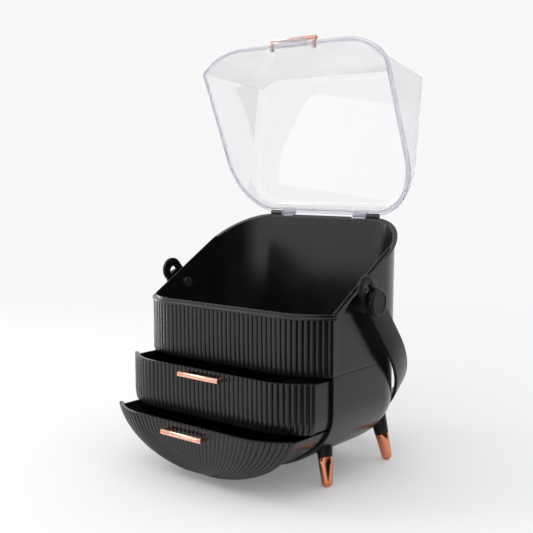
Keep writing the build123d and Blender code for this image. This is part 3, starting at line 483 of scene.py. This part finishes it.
def opened(points):
    """Points of the shut lid turned back to where it rests, about the hinge."""
    angle = radians(LID_OPEN)
    y, z = points[..., 1] - HINGE_Y, points[..., 2] - HINGE_Z
    return stacked(points[..., 0], HINGE_Y + y * cos(angle) + z * sin(angle),
                   HINGE_Z - y * sin(angle) + z * cos(angle))


def mark_rim_shade(mesh):
    """Attribute of the lid's points, by their height above the rim once the lid is turned shut: it
    falls along straight lines from 1 on the flange to nothing 6 mm above the rim. It sets where
    the lid's colour has painted shade near the rim."""
    points = np.empty(len(mesh.vertices) * 3)
    mesh.vertices.foreach_get("co", points)
    x, y, z = (points.reshape(-1, 3) * 1000 - (0, CREASE_Y + HINGE_Y, HINGE_Z)).T
    angle = radians(LID_OPEN)
    shut_y = HINGE_Y + y * cos(angle) - z * sin(angle)
    shut_z = HINGE_Z + y * sin(angle) + z * cos(angle)
    above = shut_z - LID_REST - SLOPE * np.clip(shut_y, 0, None)
    near = mesh.attributes.new("rim", "FLOAT", "POINT")
    near.data.foreach_set("value", np.interp(above, (1.2, 2.4, 4.0, 6.0), (1.0, 0.3, 0.25, 0.0)))


def latch():
    """Latch tab: a rounded plate over the rim's edge and the web that joins it to the lid."""
    face = -FRONT_BOW - LID_OUT - LID_FLANGE_OUT
    low, high = (-LATCH_HALF, face - LATCH_THICK, RIM_Z - LATCH_DOWN), (LATCH_HALF, face, RIM_Z + LATCH_UP)
    blocks = [plate(low, high, 1, 2.5, 0.6),
              plate((-WEB_HALF, face - 1, RIM_Z + 4), (WEB_HALF, WEB_END, RIM_Z + 6), 1, 0.9, 0.1)]
    return [(opened(points), faces) for points, faces in blocks]


def pull(face, z, length):
    """Pull: a bar on two round posts; face is the front's surface. The bar's section is a rounded
    rectangle whose front leans back above and below a fine groove."""
    near = face - PULL_OFF
    far = near - BAR_DEPTH
    section = [(near, 0.5, 0), (near, BAR_HALF, 1.2), (far + 1.0, BAR_HALF, 1.5), (far, 0.75, 0.2),
               (far + 0.9, 0.25, 0.1), (far, -0.25, 0.2), (far + 0.3, -BAR_HALF, 1.2),
               (near, -BAR_HALF, 1.2), (near, -0.5, 0)]
    blocks = [prism(eased([(y, z + height, corner) for y, height, corner in section]),
                    -length / 2, length / 2, 0.7)]
    for side in (-1, 1):
        inside, sunk = near - BAR_DEPTH / 2, face + 1.2
        profile = [(inside, 0), (inside, POST_R), (face - 1.2, POST_R), (sunk, POST_R), (sunk, 0)]
        blocks.append(turned(profile, (side * (length - POST_IN) / 2, 0, z), (0, 1, 0), 40))
    return blocks


def front_face(z, ahead):
    """Distance from the creases to a drawer front's surface at height z."""
    return -ahead - FRONT_BOW * float(keep(z)) ** FRONT_RECEDE


def strap():
    """Strap: a band with rounded edges along two straight ends and a half round bow, and at each end
    a plate with a keyhole slot; v runs down the strap from the knob and w across it."""
    angle = radians(STRAP_LEAN)

    def place(x, v, w):
        """Points of the strap turned back by its lean about the knobs' axis."""
        return stacked(x, KNOB_Y + v * sin(angle) + w * cos(angle), KNOB_Z - v * cos(angle) + w * sin(angle))

    half, middle = (STRAP_OUT - STRAP_IN) / 2, (STRAP_OUT + STRAP_IN) / 2
    bend = np.concatenate([quarter * pi / 2 + np.linspace(0, pi / 2, 5) for quarter in range(4)])
    sign = (np.repeat([1, -1, -1, 1], 5), np.repeat([1, 1, -1, -1], 5))
    w = sign[0] * (STRAP_HALF - STRAP_EDGE) + STRAP_EDGE * np.cos(bend)
    t = sign[1] * (half - STRAP_EDGE) + STRAP_EDGE * np.sin(bend)
    run = np.linspace(STRAP_FROM, STRAP_STRAIGHT, 12)[:-1]
    turn = np.linspace(0, pi, 97)
    x = column(np.concatenate([0 * run + middle, middle * np.cos(turn), 0 * run - middle]))
    v = column(np.concatenate([run, STRAP_STRAIGHT + middle * np.sin(turn), run[::-1]]))
    out = column(np.concatenate([0 * run, turn, 0 * run + pi]))
    band = place(x + t * np.cos(out), v + t * np.sin(out), w)
    blocks = [closed(band, band[0].mean(axis=0), band[-1].mean(axis=0))]

    turn = np.linspace(0, 2 * pi, 160, endpoint=False)[None, :] + 0.01
    c, s = np.cos(turn), np.sin(turn)

    def reach_out(edge):
        """Distance from the slot's middle to the plate's outline: to its straight end and sides as
        to a rectangle, and past the round end's middle as to a circle."""
        width = STRAP_HALF - edge
        far = np.minimum(np.where(c > 0, PLATE_AHEAD / np.maximum(c, 1e-6), 1e3), width / abs(s))
        round_end = -PLATE_ROUND * c + np.sqrt(np.clip(width**2 - (PLATE_ROUND * s) ** 2, 0, None))
        return np.where(far * c < -PLATE_ROUND, round_end, far)

    def reach_in(edge):
        """Distance from the slot's middle to the keyhole's edge: to a rectangle, or to the circle of
        the lobe that way where that lies further out."""
        slot = np.minimum(LOBE_AWAY / abs(c), (SLOT_HALF + edge) / abs(s))
        spare = (LOBE_R + edge) ** 2 - (LOBE_AWAY * s) ** 2
        lobe = LOBE_AWAY * abs(c) + np.sqrt(np.clip(spare, 0, None))
        return np.where(spare > 0, np.maximum(slot, lobe), slot)

    easing = np.array([0.7, 0.2, 0.0, 0.0, 0.2, 0.7])[:, None]
    depth = np.array([0.0, 0.2, 0.7, 3.2, 3.7, 3.9])[:, None]
    reach = np.vstack([reach_out(easing), reach_in(easing)])
    depth = np.vstack([depth, depth[::-1]])
    for side in (-1, 1):
        grid = place(side * (STRAP_IN + depth), SLOT_MIDDLE + reach * c, reach * s)
        blocks.append((grid.reshape(-1, 3), quads(*grid.shape[:2], loop=True)))
    return blocks


def knob(side):
    """Knob: a stem through the wall and a dished disc with a rounded edge."""
    turn = np.linspace(0, pi / 2, 7)
    dish = KNOB_OUT - DISH_DEPTH
    profile = [(STEM_END, 0), (STEM_END, STEM_R - 0.3), (STEM_END + 0.3, STEM_R), (KNOB_IN, STEM_R),
               (KNOB_IN, KNOB_R - 0.5), (KNOB_IN + 0.5, KNOB_R)]
    profile += [(KNOB_OUT - KNOB_ROUND * (1 - sin(a)), KNOB_R - KNOB_ROUND * (1 - cos(a))) for a in turn]
    profile += [(KNOB_OUT, DISH_R + 0.5), (KNOB_OUT - 0.15, DISH_R + 0.3), (dish, DISH_R), (dish, 0)]
    return [turned(profile, (0, KNOB_Y, KNOB_Z), (side, 0, 0), 96)]


def spacer(side):
    """Spacer: a plain collar round the knob's stem."""
    profile = [(SPACER_IN, SPACER_BORE), (SPACER_IN, SPACER_R), (SPACER_OUT - 0.5, SPACER_R),
               (SPACER_OUT - 0.15, SPACER_R - 0.15), (SPACER_OUT, SPACER_R - 0.5), (SPACER_OUT, SPACER_BORE)]
    return [turned(profile, (0, KNOB_Y, KNOB_Z), (side, 0, 0), 72, loop=True)]


def hull_gap(points):
    """Distance in plan from points to the housing's outside, less than nothing within it: as to a
    rectangle with round corners, whose size follows the height."""
    share = keep(points[..., 2])
    width, corner = HALF_WIDTH * share, CORNER_R * share
    back = (BACK_DEPTH + lean(points[..., 2])) * share**BACK_RECEDE
    x, y = abs(points[..., 0]) - width + corner, points[..., 1] - back + corner
    return np.hypot(np.clip(x, 0, None), np.clip(y, 0, None)) + np.minimum(np.maximum(x, y), 0) - corner


def leg_line(side, rear):
    """Middle of a leg's round foot and the direction up the leg."""
    foot = np.array((side * FOOT_X, FOOT_REAR if rear else FOOT_FRONT, FOOT_Z))
    way = np.array((-side * SPLAY_X, -SPLAY_Y if rear else SPLAY_Y, 1.0))
    return foot, way / np.linalg.norm(way)


def leg(side, rear):
    """Leg: a cone from the seam over its tip to the housing, its top scribed to the wall by halving
    the span between a point outside the wall and one within it."""
    foot, way = leg_line(side, rear)
    first = np.cross(way, (0.0, 0.0, 1.0))
    first /= np.linalg.norm(first)
    second = np.cross(way, first)
    turn = np.linspace(0, 2 * pi, 72, endpoint=False)[:, None]
    spoke = first * np.cos(turn) + second * np.sin(turn)

    def ring(along, shrink=0.0):
        """Circle round the leg's middle line, each point at its own distance up the cone."""
        radius = TIP_TOP_R + (along - TIP_TOP) * LEG_WIDENS - shrink
        return foot + way * along + spoke * radius

    low, high = np.full((72, 1), TIP_TOP), np.full((72, 1), LEG_REACH)
    for _ in range(30):
        half = (low + high) / 2
        outside = hull_gap(ring(half))[:, None] > 0
        low, high = np.where(outside, half, low), np.where(outside, high, half)
    seam = TIP_TOP + 0.5
    rows = [ring(seam - 0.35 + 0 * low, 0.35), ring(seam - 0.25 + 0 * low, 0.1), ring(seam + 0 * low)]
    rows += [ring(seam + (low - seam) * share) for share in (0.33, 0.66, 1.0)] + [ring(low + LEG_SINK)]
    grid = np.stack(rows)
    return [closed(grid, grid[0].mean(axis=0), grid[-1].mean(axis=0))]


def leg_tip(side, rear):
    """Leg tip: a cone on a round foot with a small flat, its top edge rounded at the seam."""
    foot, way = leg_line(side, rear)
    turn = np.linspace(-pi / 2, 0, 14)
    profile = [(FOOT_R * sin(a), FOOT_R * cos(a)) for a in turn]
    profile += [(8, 6.63), (17, 7.28), (TIP_TOP - 0.5, 7.86), (TIP_TOP - 0.15, 7.78), (TIP_TOP, 7.5)]
    profile += [(TIP_TOP, 0)]
    points, faces = turned(profile, foot, way, 72)
    points[:, 2] = np.clip(points[:, 2], 0, None)
    return [(points, faces)]


# Materials

def new_material(name):
    """Material, its nodes and its Principled shader."""
    material = bpy.data.materials.new(name)
    material.use_nodes = True
    shader = material.node_tree.nodes["Principled BSDF"]
    return material, material.node_tree, shader


def noise_bump(tree, shader, scale, strength, distance, detail=4.0):
    """Fine grain: noise on Object coordinates into a bump; gives back the noise and its place."""
    where = tree.nodes.new("ShaderNodeTexCoord")
    noise = tree.nodes.new("ShaderNodeTexNoise")
    bump = tree.nodes.new("ShaderNodeBump")
    noise.inputs["Scale"].default_value = scale
    noise.inputs["Detail"].default_value = detail
    bump.inputs["Strength"].default_value = strength
    bump.inputs["Distance"].default_value = distance
    tree.links.new(where.outputs["Object"], noise.inputs["Vector"])
    tree.links.new(noise.outputs["Fac"], bump.inputs["Height"])
    tree.links.new(bump.outputs["Normal"], shader.inputs["Normal"])
    return where, noise


def ramp_between(tree, factor, low, high, start, end):
    """Colour ramp from low to high between two values of a factor."""
    ramp = tree.nodes.new("ShaderNodeValToRGB")
    ramp.color_ramp.elements[0].position, ramp.color_ramp.elements[1].position = start, end
    ramp.color_ramp.elements[0].color, ramp.color_ramp.elements[1].color = low, high
    tree.links.new(factor, ramp.inputs["Fac"])
    return ramp


def black_plastic(name, tone, rough, shine):
    """Moulded black plastic: a fine grain, its tone and its roughness drifting slowly over it."""
    material, tree, shader = new_material(name)
    where, _ = noise_bump(tree, shader, 1400.0, 0.08, 0.0003)
    cloud = tree.nodes.new("ShaderNodeTexNoise")
    cloud.inputs["Scale"].default_value = 22.0
    cloud.inputs["Detail"].default_value = 5.0
    tree.links.new(where.outputs["Object"], cloud.inputs["Vector"])
    dark, light = (tone * 0.86,) * 2 + (tone * 0.9, 1), (tone * 1.15,) * 2 + (tone * 1.2, 1)
    colour = ramp_between(tree, cloud.outputs["Fac"], dark, light, 0.35, 0.65)
    tree.links.new(colour.outputs["Color"], shader.inputs["Base Color"])
    gloss = ramp_between(tree, cloud.outputs["Fac"], (rough[0],) * 3 + (1,), (rough[1],) * 3 + (1,), 0.3, 0.7)
    tree.links.new(gloss.outputs["Color"], shader.inputs["Roughness"])
    shader.inputs["IOR"].default_value = 1.5
    shader.inputs["Specular IOR Level"].default_value = shine
    return material


def clear_plastic():
    """Clear plastic with painted shade: its colour turns a darker violet-grey where the mesh's rim
    attribute says that the rim is near, standing in for the dark lines along its edges.
    """
    material, tree, shader = new_material("clear plastic")
    noise_bump(tree, shader, 30.0, 0.03, 0.0006, 2.0)
    rim = tree.nodes.new("ShaderNodeAttribute")
    rim.attribute_name = "rim"
    # Painted shade: pale clear tone away from the rim, a darker violet-grey on the flange near it
    colour = ramp_between(tree, rim.outputs["Fac"], (0.93, 0.925, 0.95, 1), (0.42, 0.4, 0.54, 1), 0.0, 1.0)
    tree.links.new(colour.outputs["Color"], shader.inputs["Base Color"])
    shader.inputs["Roughness"].default_value = 0.015
    shader.inputs["IOR"].default_value = 1.46
    shader.inputs["Transmission Weight"].default_value = 1.0
    shader.inputs["Alpha"].default_value = 0.7
    return material


def metal(name, dark, light, rough, scale=260.0):
    """Polished or plated metal whose tone drifts between two colours with its fine grain."""
    material, tree, shader = new_material(name)
    _, noise = noise_bump(tree, shader, scale, 0.04, 0.0002)
    colour = ramp_between(tree, noise.outputs["Fac"], (*dark, 1), (*light, 1), 0.3, 0.7)
    tree.links.new(colour.outputs["Color"], shader.inputs["Base Color"])
    shader.inputs["Metallic"].default_value = 1.0
    shader.inputs["Roughness"].default_value = rough
    return material


BLACK = black_plastic("satin black plastic", 0.008, (0.2, 0.26), 0.53)
# Rougher black plastic for strap, knobs and legs, its tone and shine lowered as painted shade
MATT_SHADED = black_plastic("soft black plastic with painted shade", 0.006, (0.28, 0.36), 0.25)
CLEAR = clear_plastic()
ROSE = metal("polished rose gold", (0.84, 0.46, 0.35), (0.93, 0.57, 0.45), 0.05)
COPPER = metal("plated copper", (0.78, 0.28, 0.16), (0.87, 0.34, 0.2), 0.07)
STEEL = metal("zinc plated steel", (0.45, 0.45, 0.47), (0.62, 0.62, 0.65), 0.3, 500.0)
FINISH = {
    "black_plastic": BLACK, "clear_plastic": CLEAR, "rose_gold": ROSE, "plated_tip": COPPER,
    "steel": STEEL,
}

# Finishes of the solids that stay as they are, such as the screws and the shelf, and then the pieces
for part in frame["record"]["subparts"]:
    node = frame["nodes"][part["node"]]
    node.data.materials.clear()
    node.data.materials.append(FINISH[part["material_slot"]])

settle("tray", tray(), "cabinet", "black_plastic", BLACK, "tray_shell")
settle("drawer_housing", housing(), "cabinet", "black_plastic", BLACK, "housing_shell")
settle("upper_drawer_box", drawer(top=121.5, bottom=70.4, sides=119.2, seat=69.7, ahead=UPPER_OUT),
       "upper_drawer_body", "black_plastic", BLACK, "upper_drawer")
settle("lower_drawer_box", drawer(top=69.1, bottom=12.0, sides=66.8, seat=15.4, ahead=LOWER_OUT),
       "lower_drawer_body", "black_plastic", BLACK, "lower_drawer")
settle("upper_pull_bar", pull(front_face(UPPER_PULL_Z, UPPER_OUT), UPPER_PULL_Z, PULL_LENGTH),
       "upper_drawer_body", "rose_gold", ROSE, "upper_pull")
settle("lower_pull_bar", pull(front_face(LOWER_PULL_Z, LOWER_OUT), LOWER_PULL_Z, PULL_LENGTH),
       "lower_drawer_body", "rose_gold", ROSE, "lower_pull")
clear_lid = settle("clear_lid", lid(), "lid", "clear_plastic", CLEAR, "lid_shell", sharp=40)
# Painted shade: this attribute darkens the lid's colour near its rim
mark_rim_shade(clear_lid.data)
settle("latch_tab", latch(), "lid", "clear_plastic", CLEAR, "lid_latch", sharp=40)
shut_pull = pull(LID_PULL_FACE, RIM_Z + LATCH_UP, LID_PULL_LENGTH)
lid_pull_blocks = [(opened(points), faces) for points, faces in shut_pull]
settle("lid_pull_bar", lid_pull_blocks, "lid", "rose_gold", ROSE, "lid_pull")
settle("strap", strap(), "handle", "black_plastic", MATT_SHADED, "carry_strap")
for side, hand in ((-1, "left"), (1, "right")):
    settle(f"knob_{hand}", knob(side), "knobs", "black_plastic", MATT_SHADED, f"handle_knob_{hand}")
    settle(f"spacer_{hand}", spacer(side), "cabinet", "black_plastic", BLACK, f"handle_spacer_{hand}")
    for rear, end in ((False, "front"), (True, "rear")):
        settle(f"cone_{end}_{hand}", leg(side, rear), "cabinet", "black_plastic", MATT_SHADED, f"leg_{end}_{hand}")
        settle(f"tip_{end}_{hand}", leg_tip(side, rear), "cabinet", "plated_tip", COPPER,
               f"leg_tip_{end}_{hand}")

# Camera where the photograph was taken from; the focal length is in the photograph's pixels
PHOTO_WIDTH, FOCAL_LENGTH, SENSOR = 533, 901.03, 36.0
CAMERA_PLACE = (0.6351, -0.7253 + CREASE_Y / 1000, 0.3307)
AZIMUTH, ELEVATION = radians(39.31), radians(6.22)
camera_data = bpy.data.cameras.new("photo camera")
camera_data.sensor_width = SENSOR
camera_data.lens = FOCAL_LENGTH / PHOTO_WIDTH * SENSOR
camera = bpy.data.objects.new("photo camera", camera_data)
camera.location = CAMERA_PLACE
gaze = Vector((-sin(AZIMUTH) * cos(ELEVATION), cos(AZIMUTH) * cos(ELEVATION), -sin(ELEVATION)))
camera.rotation_euler = gaze.to_track_quat("-Z", "Y").to_euler()
bpy.context.scene.collection.objects.link(camera)
bpy.context.scene.camera = camera


# Floor, world and lamps: tones of the paper, of the background, and the share of the background that
# the floor has near the unit; distances from the unit, in metres, between which the paper passes into
# the background and between which reflections lose the floor; and the way to the dark side
PAPER, BACKGROUND, SHADE = 0.9, 0.935, 0.18
PAPER_ENDS, REFLECTION_ENDS = (0.5, 1.5), (0.2, 0.5)
DARK_SIDE = (0.985, -0.174, 0.0)


def link_math(tree, operation, first, second):
    """Math node on two inputs, each a socket or a number."""
    node = tree.nodes.new("ShaderNodeMath")
    node.operation = operation
    for place, value in enumerate((first, second)):
        if isinstance(value, float):
            node.inputs[place].default_value = value
        else:
            tree.links.new(value, node.inputs[place])
    return node.outputs["Value"]


def mixed(tree, share, first, second):
    """First shader passing into the second by a share."""
    mix = tree.nodes.new("ShaderNodeMixShader")
    tree.links.new(share, mix.inputs["Fac"])
    tree.links.new(first, mix.inputs[1])
    tree.links.new(second, mix.inputs[2])
    return mix.outputs["Shader"]


def seen_by_camera(tree):
    """One where the camera looks at a surface itself or through the clear lid."""
    path = tree.nodes.new("ShaderNodeLightPath")
    return link_math(tree, "MAXIMUM", path.outputs["Is Camera Ray"], path.outputs["Is Transmission Ray"])


def paper_floor():
    """Sheet of pale paper that keeps the shadow near the unit; further out it has the plain tone of
    the background, and there it gives no reflection."""
    mesh = bpy.data.meshes.new("floor")
    mesh.from_pydata([(-60, -60, 0), (60, -60, 0), (60, 60, 0), (-60, 60, 0)], [], [(0, 1, 2, 3)])
    sheet = bpy.data.objects.new("floor", mesh)
    bpy.context.scene.collection.objects.link(sheet)
    material, tree, shader = new_material("pale paper")
    shader.inputs["Base Color"].default_value = (PAPER, PAPER, PAPER, 1)
    shader.inputs["Roughness"].default_value = 0.8
    shader.inputs["Specular IOR Level"].default_value = 0.1
    where = tree.nodes.new("ShaderNodeTexCoord")
    length = tree.nodes.new("ShaderNodeVectorMath")
    length.operation = "LENGTH"
    tree.links.new(where.outputs["Object"], length.inputs[0])
    fades = []
    for start, end in (PAPER_ENDS, REFLECTION_ENDS):
        fade = tree.nodes.new("ShaderNodeMapRange")
        fade.interpolation_type = "SMOOTHSTEP"
        fade.inputs["From Min"].default_value, fade.inputs["From Max"].default_value = start, end
        tree.links.new(length.outputs["Value"], fade.inputs["Value"])
        fades.append(fade.outputs["Result"])
    seen = seen_by_camera(tree)
    share = link_math(tree, "ADD", link_math(tree, "MULTIPLY", fades[0], 1 - SHADE), SHADE)
    glow = tree.nodes.new("ShaderNodeEmission")
    glow.inputs["Color"].default_value = (BACKGROUND, BACKGROUND, BACKGROUND, 1)
    clear = tree.nodes.new("ShaderNodeBsdfTransparent")
    plain = link_math(tree, "MULTIPLY", seen, share)
    near = mixed(tree, plain, shader.outputs["BSDF"], glow.outputs["Emission"])
    unseen = link_math(tree, "SUBTRACT", 1.0, seen)
    whole = mixed(tree, link_math(tree, "MULTIPLY", unseen, fades[1]), near, clear.outputs["BSDF"])
    tree.links.new(whole, tree.nodes["Material Output"].inputs["Surface"])
    mesh.materials.append(material)


def studio():
    """White surroundings that darken towards the dark side, most of all low down; the camera itself,
    and what is seen through the clear lid, has the plain background."""
    world = bpy.data.worlds.new("studio")
    world.use_nodes = True
    tree = world.node_tree
    around = tree.nodes["Background"]
    where = tree.nodes.new("ShaderNodeTexCoord")
    facing = tree.nodes.new("ShaderNodeVectorMath")
    facing.operation = "DOT_PRODUCT"
    facing.inputs[1].default_value = DARK_SIDE
    tree.links.new(where.outputs["Generated"], facing.inputs[0])
    split = tree.nodes.new("ShaderNodeSeparateXYZ")
    tree.links.new(where.outputs["Generated"], split.inputs["Vector"])
    above = link_math(tree, "MAXIMUM", split.outputs["Z"], 0.0)
    low = link_math(tree, "SUBTRACT", facing.outputs["Value"], link_math(tree, "MULTIPLY", above, 1.05))
    tone = ramp_between(tree, low, (0.94, 0.94, 0.94, 1), (0.02, 0.02, 0.022, 1), 0.2, 0.8)
    tree.links.new(tone.outputs["Color"], around.inputs["Color"])
    plain = tree.nodes.new("ShaderNodeBackground")
    plain.inputs["Color"].default_value = (BACKGROUND, BACKGROUND, BACKGROUND, 1)
    whole = mixed(tree, seen_by_camera(tree), around.outputs["Background"], plain.outputs["Background"])
    tree.links.new(whole, tree.nodes["World Output"].inputs["Surface"])
    bpy.context.scene.world = world


paper_floor()
studio()
bpy.context.scene.view_settings.view_transform = "Standard"


def lamp(name, place, target, size, watts):
    """Softbox that isn't seen through the clear lid."""
    data = bpy.data.lights.new(name, "AREA")
    data.shape, data.size, data.size_y, data.energy = "RECTANGLE", size[0], size[1], watts
    light = bpy.data.objects.new(name, data)
    light.location = place
    light.rotation_euler = (Vector(target) - Vector(place)).to_track_quat("-Z", "Y").to_euler()
    light.visible_transmission = False
    bpy.context.scene.collection.objects.link(light)


lamp("key softbox", (-1.3, -0.8, 1.25), (0, 0, 0.2), (0.42, 0.42), 4.5)
lamp("strip", (-1.7, 0.05, 0.25), (0, 0, 0.15), (0.5, 0.9), 4)
lamp("window", (-1.11, -1.46, 0.825), (0, 0.12, 0.3), (0.42, 0.32), 0.8)
lamp("high softbox", (0.3, -1.2, 1.6), (0, 0, 0.15), (1.2, 1.2), 6.5)
lamp("fill softbox", (1.5, -0.3, 1.0), (0, 0, 0.2), (1.0, 1.2), 0.6)
